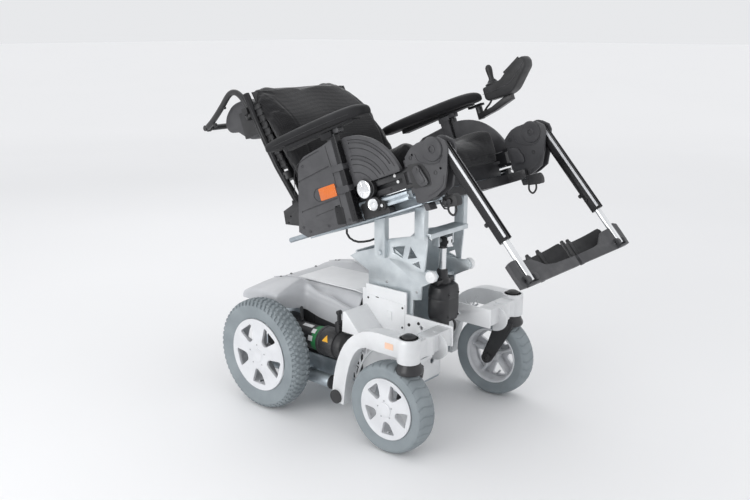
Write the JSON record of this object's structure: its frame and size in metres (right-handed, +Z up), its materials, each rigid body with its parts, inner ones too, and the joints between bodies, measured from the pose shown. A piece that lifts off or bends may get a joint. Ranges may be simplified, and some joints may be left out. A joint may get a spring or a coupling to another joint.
{
  "type": "power wheelchair",
  "caption": "Powered wheelchair with driven rear wheels, swivelling front casters, seat lift and tilt, swing-away legrests, folding footplates and joystick.",
  "frame": {"origin": "on the floor, under the centre of the object's box", "axes": "+X forward, +Y to the occupant's left, +Z up"},
  "size_m": [1.3178, 0.6688, 1.0958],
  "materials": {
    "zinc_frame": "zinc plated",
    "battery_plastic": "moulded",
    "white_cover": "satin paint",
    "shroud_grey": "satin moulded",
    "motor_black": "satin paint",
    "cast_silver": "silver paint",
    "black_plastic": "moulded",
    "grey_tyre": "non-marking rubber",
    "silver_rim": "silver paint",
    "black_metal": "satin powder coat",
    "zinc_plate": "zinc plated",
    "chrome": "polished",
    "seat_fabric": "stretch knit",
    "panel_charcoal": "fine grain",
    "cable_black": "matt",
    "back_fabric": "spacer knit",
    "pad_charcoal": "soft grain",
    "button_grey": "moulded",
    "legrest_grey": "fine grain",
    "tube_black": "black anodised",
    "strap_black": "webbing"
  },
  "bodies": {
    "chassis": {"base_frame": "zinc_frame", "battery_box": "battery_plastic", "lift_housing": "white_cover", "lift_column": "zinc_frame", "front_cover_right": "white_cover", "front_cover_left": "white_cover", "rear_shroud": "shroud_grey", "motor_right": "motor_black", "motor_left": "motor_black", "caster_arm_right": "cast_silver", "caster_arm_left": "cast_silver", "end_caps": "black_plastic"},
    "lift_carriage": {"lift_plates": "zinc_plate", "lift_crossbeam": "zinc_plate", "tilt_actuator": "black_plastic"},
    "seat": {"seat_frame": "zinc_plate", "tilt_frame": "zinc_plate", "seat_cushion": "seat_fabric", "side_rail_right": "black_metal", "side_rail_left": "black_metal", "side_guards": "panel_charcoal", "wiring": "cable_black"},
    "tilt_rod": {"actuator_rod": "chrome"},
    "backrest": {"back_frame": "black_metal", "back_shell": "black_plastic", "back_cushion": "back_fabric", "push_bar": "black_metal"},
    "drive_wheel_right": {"drive_tyre_right": "grey_tyre", "drive_rim_right": "silver_rim"},
    "caster_fork_right": {"caster_fork_right": "black_metal"},
    "caster_wheel_right": {"caster_tyre_right": "grey_tyre", "caster_rim_right": "silver_rim"},
    "clutch_lever_right": {"clutch_lever_right": "black_plastic"},
    "armrest_right": {"armrest_right": "panel_charcoal", "arm_pad_right": "pad_charcoal"},
    "legrest_right": {"legrest_right": "legrest_grey"},
    "legrest_lever_right": {"legrest_lever_right": "legrest_grey"},
    "lower_leg_right": {"leg_tube_right": "tube_black"},
    "leg_extension_right": {"leg_slider_right": "chrome"},
    "footplate_right": {"footplate_right": "panel_charcoal", "heel_strap_right": "strap_black"},
    "drive_wheel_left": {"drive_tyre_left": "grey_tyre", "drive_rim_left": "silver_rim"},
    "caster_fork_left": {"caster_fork_left": "black_metal"},
    "caster_wheel_left": {"caster_tyre_left": "grey_tyre", "caster_rim_left": "silver_rim"},
    "clutch_lever_left": {"clutch_lever_left": "black_plastic"},
    "armrest_left": {"armrest_left": "panel_charcoal", "arm_pad_left": "pad_charcoal"},
    "legrest_left": {"legrest_left": "legrest_grey"},
    "legrest_lever_left": {"legrest_lever_left": "legrest_grey"},
    "lower_leg_left": {"leg_tube_left": "tube_black"},
    "leg_extension_left": {"leg_slider_left": "chrome"},
    "footplate_left": {"footplate_left": "panel_charcoal", "heel_strap_left": "strap_black"},
    "joystick_mount": {"joystick_arm": "black_metal", "joystick_box": "black_plastic"},
    "stick_gimbal": {"joystick_gimbal": "chrome"},
    "stick": {"joystick_stick": "black_plastic"},
    "power_button": {"joystick_button": "button_grey"}
  },
  "joints": [
    {"name": "seat_lift", "type": "slide", "parent": "chassis", "child": "lift_carriage", "axis": [0, 0, 1], "range_m": [-0.08, 0.08]},
    {"name": "seat_tilt", "type": "hinge", "parent": "lift_carriage", "child": "seat", "pos_m": [0.04072, 0, 0.524], "axis": [0, 1, 0], "range_deg": [0, 21]},
    {"name": "tilt_rod_slide", "type": "slide", "parent": "lift_carriage", "child": "tilt_rod", "axis": [0, 0, 1], "range_m": [-0.061, 0]},
    {"name": "back_recline", "type": "hinge", "parent": "seat", "child": "backrest", "pos_m": [-0.18639, 0, 0.62757], "axis": [0, 1, 0], "range_deg": [-25, 5]},
    {"name": "drive_wheel_spin_right", "type": "hinge", "parent": "chassis", "child": "drive_wheel_right", "pos_m": [-0.27728, -0.297, 0.178], "axis": [0, 1, 0], "continuous": true},
    {"name": "caster_swivel_right", "type": "hinge", "parent": "chassis", "child": "caster_fork_right", "pos_m": [0.28372, -0.268, 0.32], "axis": [0, 0, 1], "continuous": true},
    {"name": "caster_wheel_spin_right", "type": "hinge", "parent": "caster_fork_right", "child": "caster_wheel_right", "pos_m": [0.22472, -0.268, 0.134], "axis": [0, 1, 0], "continuous": true},
    {"name": "clutch_release_right", "type": "hinge", "parent": "chassis", "child": "clutch_lever_right", "pos_m": [-0.04228, -0.2, 0.305], "axis": [0, 1, 0], "range_deg": [-50, 0]},
    {"name": "armrest_height_right", "type": "slide", "parent": "seat", "child": "armrest_right", "axis": [-0.3551, 0, 0.9348], "range_m": [0, 0.05]},
    {"name": "legrest_swing_right", "type": "hinge", "parent": "seat", "child": "legrest_right", "pos_m": [0.27729, -0.248, 0.80371], "axis": [0.3551, 0, -0.9348], "range_deg": [0, 90]},
    {"name": "legrest_release_right", "type": "hinge", "parent": "legrest_right", "child": "legrest_lever_right", "pos_m": [0.30516, -0.268, 0.82606], "axis": [0, 1, 0], "range_deg": [0, 18], "stiffness_Nm_per_rad": 1},
    {"name": "leg_elevate_right", "type": "hinge", "parent": "legrest_right", "child": "lower_leg_right", "pos_m": [0.33396, -0.246, 0.87979], "axis": [0, 1, 0], "range_deg": [-60, 12]},
    {"name": "leg_length_right", "type": "slide", "parent": "lower_leg_right", "child": "leg_extension_right", "axis": [0.6678, 0, -0.7443], "range_m": [-0.04, 0.06]},
    {"name": "footplate_fold_right", "type": "hinge", "parent": "leg_extension_right", "child": "footplate_right", "pos_m": [0.6401, -0.246, 0.58976], "axis": [0, 1, 0], "range_deg": [0, 95]},
    {"name": "drive_wheel_spin_left", "type": "hinge", "parent": "chassis", "child": "drive_wheel_left", "pos_m": [-0.27728, 0.297, 0.178], "axis": [0, 1, 0], "continuous": true},
    {"name": "caster_swivel_left", "type": "hinge", "parent": "chassis", "child": "caster_fork_left", "pos_m": [0.28372, 0.268, 0.32], "axis": [0, 0, 1], "continuous": true},
    {"name": "caster_wheel_spin_left", "type": "hinge", "parent": "caster_fork_left", "child": "caster_wheel_left", "pos_m": [0.22472, 0.268, 0.134], "axis": [0, 1, 0], "continuous": true},
    {"name": "clutch_release_left", "type": "hinge", "parent": "chassis", "child": "clutch_lever_left", "pos_m": [-0.04228, 0.2, 0.305], "axis": [0, 1, 0], "range_deg": [-50, 0]},
    {"name": "armrest_height_left", "type": "slide", "parent": "seat", "child": "armrest_left", "axis": [-0.3551, 0, 0.9348], "range_m": [0, 0.05]},
    {"name": "legrest_swing_left", "type": "hinge", "parent": "seat", "child": "legrest_left", "pos_m": [0.27729, 0.248, 0.80371], "axis": [-0.3551, 0, 0.9348], "range_deg": [0, 90]},
    {"name": "legrest_release_left", "type": "hinge", "parent": "legrest_left", "child": "legrest_lever_left", "pos_m": [0.30516, 0.268, 0.82606], "axis": [0, 1, 0], "range_deg": [0, 18], "stiffness_Nm_per_rad": 1},
    {"name": "leg_elevate_left", "type": "hinge", "parent": "legrest_left", "child": "lower_leg_left", "pos_m": [0.33396, 0.246, 0.87979], "axis": [0, 1, 0], "range_deg": [-60, 12]},
    {"name": "leg_length_left", "type": "slide", "parent": "lower_leg_left", "child": "leg_extension_left", "axis": [0.6678, 0, -0.7443], "range_m": [-0.04, 0.06]},
    {"name": "footplate_fold_left", "type": "hinge", "parent": "leg_extension_left", "child": "footplate_left", "pos_m": [0.6401, 0.246, 0.58976], "axis": [0, 1, 0], "range_deg": [0, 95]},
    {"name": "joystick_swing", "type": "hinge", "parent": "armrest_left", "child": "joystick_mount", "pos_m": [0.11657, 0.3, 0.91702], "axis": [-0.3551, 0, 0.9348], "range_deg": [0, 90]},
    {"name": "stick_fore_aft", "type": "hinge", "parent": "joystick_mount", "child": "stick_gimbal", "pos_m": [0.16489, 0.296, 1.00384], "axis": [0, 1, 0], "range_deg": [-15, 15], "stiffness_Nm_per_rad": 0.8},
    {"name": "stick_side", "type": "hinge", "parent": "stick_gimbal", "child": "stick", "pos_m": [0.16489, 0.296, 1.00384], "axis": [0.9348, 0, 0.3551], "range_deg": [-15, 15], "stiffness_Nm_per_rad": 0.8},
    {"name": "power_press", "type": "slide", "parent": "joystick_mount", "child": "power_button", "axis": [-0.3551, 0, 0.9348], "range_m": [-0.002, 0], "stiffness_N_per_m": 400}
  ],
  "couplings": [
    {"joint": "tilt_rod_slide", "follows": "seat_tilt", "m_per_rad": -0.162}
  ]
}
